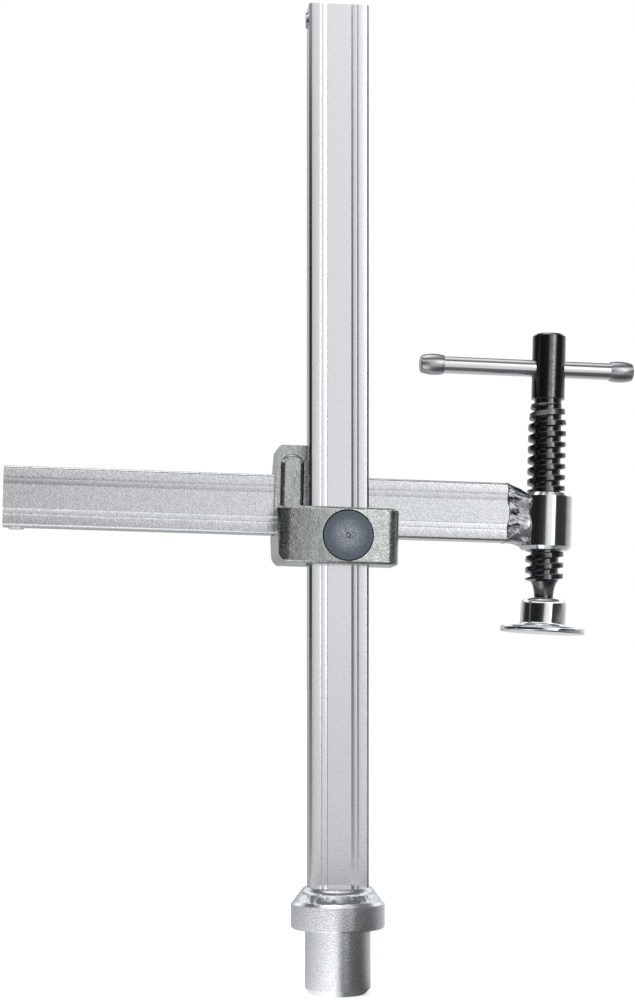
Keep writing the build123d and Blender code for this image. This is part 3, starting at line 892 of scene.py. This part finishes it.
@dataclass
class Screw:
    """The spindle with its tommy bar, and the pressure pad on its tip.

    Attributes:
        spindle: The threaded spindle.
        bar: The tommy bar.
        caps: The caps on the bar's ends.
        ring: The wire ring inside the pad.
        pad: The pressure pad.
    """

    spindle: SmoothSkin
    bar: SmoothSkin
    caps: tuple[SmoothSkin, SmoothSkin]
    ring: SmoothSkin
    pad: SmoothSkin

    def build(self) -> list[bpy.types.Object]:
        """Builds and dresses the spindle, the bar with its caps, the ring and the pad.

        Returns:
            The new pieces.
        """
        tumbled = CAP_STEEL.material()
        return [
            self.spindle.build(BLACK_OXIDE.material()),
            self.bar.build(BAR_STEEL.material()),
            *(cap.build(tumbled) for cap in self.caps),
            self.ring.build(SPRING_WIRE.material()),
            self.pad.build(BRIGHT_PLATE.material()),
        ]


@dataclass(frozen=True)
class SoftLamp:
    """A square soft lamp.

    Attributes:
        name: Its name.
        place_m: Where it hangs.
        side_m: Its side.
        power_w: Its power.
    """

    name: str
    place_m: tuple[float, float, float]
    side_m: float
    power_w: float

    def build(self, aim_m: tuple[float, float, float]) -> None:
        """Hangs the lamp.

        Args:
            aim_m: The point that it shines at.
        """
        light = bpy.data.lights.new(self.name, "AREA")
        light.size = self.side_m
        light.energy = self.power_w
        hung = bpy.data.objects.new(self.name, light)
        hung.location = self.place_m
        hung.rotation_euler = (Vector(aim_m) - Vector(self.place_m)).to_track_quat("-Z", "Y").to_euler()
        hung.visible_camera = False
        bpy.context.collection.objects.link(hung)


def horizon_stops(levels: Levels, low: float = 0.0, high: float = math.inf) -> Levels:
    """Places grey levels round the horizon on a ramp, with the front in its middle.

    Args:
        levels: Compass angles in degrees from the front, each with its grey level.
        low: The darkest level that is left.
        high: The lightest level that is left.

    Returns:
        Places from 0 to 1, each with its grey level.
    """
    return tuple((angle / 360.0 + 0.5, min(max(level, low), high)) for angle, level in levels)


def compass_share(tree: bpy.types.NodeTree, way: bpy.types.Node) -> bpy.types.Node:
    """Gives the compass direction of a vector as a share of a full turn, with the front at 0.5.

    Args:
        tree: The node tree.
        way: The node that separates the vector.

    Returns:
        The share's node.
    """
    front = add_node(tree, "ShaderNodeMath", {0: way.outputs["Y"], 1: -1.0}, operation="MULTIPLY")
    turn = add_node(tree, "ShaderNodeMath", {0: way.outputs["X"], 1: front}, operation="ARCTAN2")
    whole = {0: turn, 1: 1 / FULL_TURN, 2: 0.5}
    return add_node(tree, "ShaderNodeMath", whole, operation="MULTIPLY_ADD")


@dataclass
class Studio:
    """White studio: floor, surroundings and lamps.

    Attributes:
        floor_half_m: Half of the floor's side.
        floor_drop_m: Depth of the floor under the table plane.
        floor_colour: Its paint.
        floor_roughness: Its roughness.
        floor_glow: Share of plain white in the floor that the camera sees.
        fill_strength: Light of the surroundings on plain surfaces.
        near_floor_m: Radius of the floor that only the foot mirrors.
        near_blend_m: Width over which that floor turns into the floor further out.
        mirrored_strength: Strength of the floor as the metals mirror it.
        far_floor: Darkest and lightest grey of the floor further out, as the metals mirror it.
        cards: White cards and dark gaps that the metals mirror at the horizon, as compass angles
            from the front in degrees, each with its grey level.
        near_floor: The same for the floor near the foot.
        overhead: The same above the horizon, as heights from 0 to 1 straight up.
        overhead_from: Heights between which the cards at the horizon turn into those above.
        lamps: The soft lamps.
        aim_m: The clamp's middle, which the lamps shine at.
    """

    floor_half_m: float = 30.0
    floor_drop_m: float = 0.0278
    floor_colour: str = "#F2F2F2"
    floor_roughness: float = 0.9
    floor_glow: float = 0.5
    fill_strength: float = 0.8
    near_floor_m: float = 0.38
    near_blend_m: float = 0.12
    mirrored_strength: float = 0.9
    far_floor: tuple[float, float] = (0.42, 1.0)
    cards: Levels = (
        (-180.0, 0.55), (-168.0, 0.5), (-154.0, 0.8), (-136.0, 0.3), (-118.0, 0.03),
        (-45.0, 0.015), (-24.0, 0.04), (-13.0, 0.1), (-7.0, 0.55), (-2.0, 0.86),
        (5.0, 1.06), (17.0, 1.15), (22.0, 2.3), (29.0, 2.3), (32.0, 0.2), (38.0, 0.04),
        (58.0, 0.04), (84.0, 0.06), (98.0, 0.4), (112.0, 0.55), (134.0, 0.85),
        (160.0, 0.85), (180.0, 0.55),
    )
    near_floor: Levels = (
        (-180.0, 0.55), (-140.0, 0.65), (-90.0, 1.0), (-36.0, 1.6), (-16.0, 1.75),
        (-4.0, 1.0), (6.0, 0.3), (40.0, 0.16), (70.0, 0.12), (90.0, 0.2),
        (112.0, 0.5), (150.0, 0.8), (180.0, 0.55),
    )
    overhead: Levels = ((0.4, 1.3), (0.58, 1.3), (0.7, 0.16), (0.88, 0.18), (0.97, 1.1))
    overhead_from: tuple[float, float] = (0.28, 0.42)
    lamps: tuple[SoftLamp, ...] = (
        SoftLamp("key_lamp", (0.9, -1.6, 0.9), 0.9, 2.0),
        SoftLamp("top_lamp", (-0.3, 0.1, 1.9), 1.0, 3.0),
    )
    aim_m: tuple[float, float, float] = (0.0, 0.0, 0.18)

    def floor(self) -> None:
        """Makes the pale floor that keeps the object's shadow."""
        half, height = self.floor_half_m, -self.floor_drop_m
        corners = [(x, y, height) for x, y in ((-half, -half), (half, -half), (half, half), (-half, half))]
        mesh = bpy.data.meshes.new("studio_floor")
        mesh.from_pydata(corners, [], [(0, 1, 2, 3)])
        ground = bpy.data.objects.new("studio_floor", mesh)
        bpy.context.collection.objects.link(ground)
        paint = bpy.data.materials.new("white_floor")
        paint.use_nodes = True
        tree = paint.node_tree
        shader = tree.nodes["Principled BSDF"]
        shader.inputs["Base Color"].default_value = linear_colour(self.floor_colour)
        shader.inputs["Roughness"].default_value = self.floor_roughness
        shader.inputs["Specular IOR Level"].default_value = 0.0
        seen = add_node(tree, "ShaderNodeLightPath")
        through = {0: seen.outputs["Is Camera Ray"], 1: seen.outputs["Is Transmission Ray"]}
        clear = add_node(tree, "ShaderNodeMath", through, operation="MAXIMUM")
        glowing = add_node(tree, "ShaderNodeMath", {0: clear, 1: self.floor_glow}, operation="MULTIPLY")
        glow = add_node(tree, "ShaderNodeEmission", {"Color": WHITE, "Strength": glowing})
        plain = add_node(tree, "ShaderNodeAddShader", {0: shader, 1: glow})
        place = add_node(tree, "ShaderNodeTexCoord").outputs["Object"]
        share = compass_share(tree, add_node(tree, "ShaderNodeSeparateXYZ", {0: place}))
        near = add_node(tree, "ShaderNodeValToRGB", {0: share}, horizon_stops(self.near_floor))
        lifted = horizon_stops(self.cards, *self.far_floor)
        outside = add_node(tree, "ShaderNodeValToRGB", {0: share}, lifted)
        far = add_node(tree, "ShaderNodeVectorMath", {0: place}, operation="LENGTH").outputs["Value"]
        blended_m = self.near_floor_m + self.near_blend_m
        ends = {"Value": far, "From Min": self.near_floor_m, "From Max": blended_m}
        outer = add_node(tree, "ShaderNodeMapRange", ends, interpolation_type="SMOOTHSTEP")
        rings = {0: outer, MIX_A: near, MIX_B: outside}
        mirrored = add_node(tree, "ShaderNodeMix", rings, data_type="RGBA").outputs[MIX_RESULT]
        card_light = {"Color": mirrored, "Strength": self.mirrored_strength}
        cards = add_node(tree, "ShaderNodeEmission", card_light)
        shown = {0: seen.outputs["Is Glossy Ray"], 1: plain, 2: cards}
        both = add_node(tree, "ShaderNodeMixShader", shown)
        tree.links.new(both.outputs[0], tree.nodes["Material Output"].inputs["Surface"])
        ground.data.materials.append(paint)

    def surroundings(self) -> None:
        """Makes the white surroundings, the soft fill light and the cards over the horizon."""
        world = bpy.data.worlds.new("studio_world")
        world.use_nodes = True
        bpy.context.scene.world = world
        tree = world.node_tree
        tree.nodes.clear()
        sky = add_node(tree, "ShaderNodeTexCoord").outputs["Generated"]
        way = add_node(tree, "ShaderNodeSeparateXYZ", {0: sky})
        share = compass_share(tree, way)
        around = add_node(tree, "ShaderNodeValToRGB", {0: share}, horizon_stops(self.cards))
        above = add_node(tree, "ShaderNodeValToRGB", {0: way.outputs["Z"]}, self.overhead)
        low, high = self.overhead_from
        ends = {"Value": way.outputs["Z"], "From Min": low, "From Max": high}
        higher = add_node(tree, "ShaderNodeMapRange", ends, interpolation_type="SMOOTHSTEP")
        bands = {0: higher, MIX_A: around, MIX_B: above}
        dome = add_node(tree, "ShaderNodeMix", bands, data_type="RGBA").outputs[MIX_RESULT]
        seen = add_node(tree, "ShaderNodeLightPath")
        fill = add_node(tree, "ShaderNodeBackground", {"Color": WHITE, "Strength": self.fill_strength})
        white = add_node(tree, "ShaderNodeBackground", {"Color": WHITE, "Strength": 1.0})
        cards = add_node(tree, "ShaderNodeBackground", {"Color": dome})
        through = {0: seen.outputs["Is Camera Ray"], 1: seen.outputs["Is Transmission Ray"]}
        clear = add_node(tree, "ShaderNodeMath", through, operation="MAXIMUM")
        plain = add_node(tree, "ShaderNodeMixShader", {0: clear, 1: fill, 2: white})
        shown = {0: seen.outputs["Is Glossy Ray"], 1: plain, 2: cards}
        both = add_node(tree, "ShaderNodeMixShader", shown)
        add_node(tree, "ShaderNodeOutputWorld", {"Surface": both})

    def build(self) -> None:
        """Builds the floor, the surroundings and the lamps, and shows colours as they are written."""
        self.floor()
        self.surroundings()
        for lamp in self.lamps:
            lamp.build(self.aim_m)
        bpy.context.scene.view_settings.view_transform = "Standard"


@dataclass
class PhotoCamera:
    """The camera that the photograph was solved to.

    Attributes:
        frame_height_px: Height of the photograph.
        frame_width_px: Its width.
        focal_px: Focal length in pixels.
        axis_column_px: Column where the optical axis meets the picture.
        horizon_row_px: Row of the horizon, where the axis meets the picture.
        azimuth_deg: Direction of view, round from the front.
        distance_m: Distance from the spigot's axis.
        height_m: Height over the table plane.
        sensor_mm: Side of the sensor along the picture's height.
    """

    frame_height_px: float = 1000.0
    frame_width_px: float = 635.0
    focal_px: float = 1980.5
    axis_column_px: float = 337.8
    horizon_row_px: float = 681.8
    azimuth_deg: float = -6.8
    distance_m: float = 0.842
    height_m: float = 0.1045
    sensor_mm: float = 36.0

    def build(self) -> None:
        """Makes the camera and sets it as the scene's own."""
        lens = bpy.data.cameras.new("photo_camera")
        lens.sensor_width = self.sensor_mm
        lens.lens = self.focal_px / self.frame_height_px * self.sensor_mm
        lens.shift_x = (self.frame_width_px / 2 - self.axis_column_px) / self.frame_height_px
        lens.shift_y = (self.horizon_row_px - self.frame_height_px / 2) / self.frame_height_px
        camera = bpy.data.objects.new("photo_camera", lens)
        turn = math.radians(self.azimuth_deg)
        across, back = self.distance_m * math.sin(turn), -self.distance_m * math.cos(turn)
        camera.location = (across, back, self.height_m)
        camera.rotation_euler = (math.pi / 2, 0.0, turn)
        bpy.context.collection.objects.link(camera)
        bpy.context.scene.camera = camera


def main() -> None:
    """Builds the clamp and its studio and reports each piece."""
    logging.basicConfig(level=logging.INFO, format="%(name)s: %(message)s")
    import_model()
    foot = Foot(
        post=SmoothSkin("post_rail", "base", "rail_steel"),
        spigot=SmoothSkin("table_spigot", "base", "zinc_steel"),
        bead_core=SmoothSkin("post_weld", "base", "weld_metal"),
        bead=PostWeld(),
    )
    slider = Slider(
        casting=SmoothSkin("crosspiece", "slider", "cast_zinc"),
        plug=SmoothSkin("pressure_plug", "plug", "plug_steel"),
    )
    arm = Arm(
        rail=SmoothSkin("arm_rail", "arm", "rail_steel"),
        sleeve=SmoothSkin("spindle_nut", "arm", "bright_steel"),
        bead=ArmWeld(),
    )
    screw = Screw(
        spindle=SmoothSkin("spindle", "screw", "black_steel"),
        bar=SmoothSkin("tommy_bar", "handle", "bar_steel"),
        caps=(
            SmoothSkin("tommy_cap_left", "handle", "cap_steel"),
            SmoothSkin("tommy_cap_right", "handle", "cap_steel"),
        ),
        ring=SmoothSkin("pad_snap_ring", "feed", "spring_wire"),
        pad=SmoothSkin("pressure_pad", "pad", "bright_steel"),
    )
    for assembly in (foot, slider, arm, screw):
        for piece in assembly.build():
            finish = piece.data.materials[-1].name
            LOG.info("%s: %d faces in %s", piece.name, len(piece.data.polygons), finish)
    Studio().build()
    PhotoCamera().build()


if __name__ == "__main__":
    main()
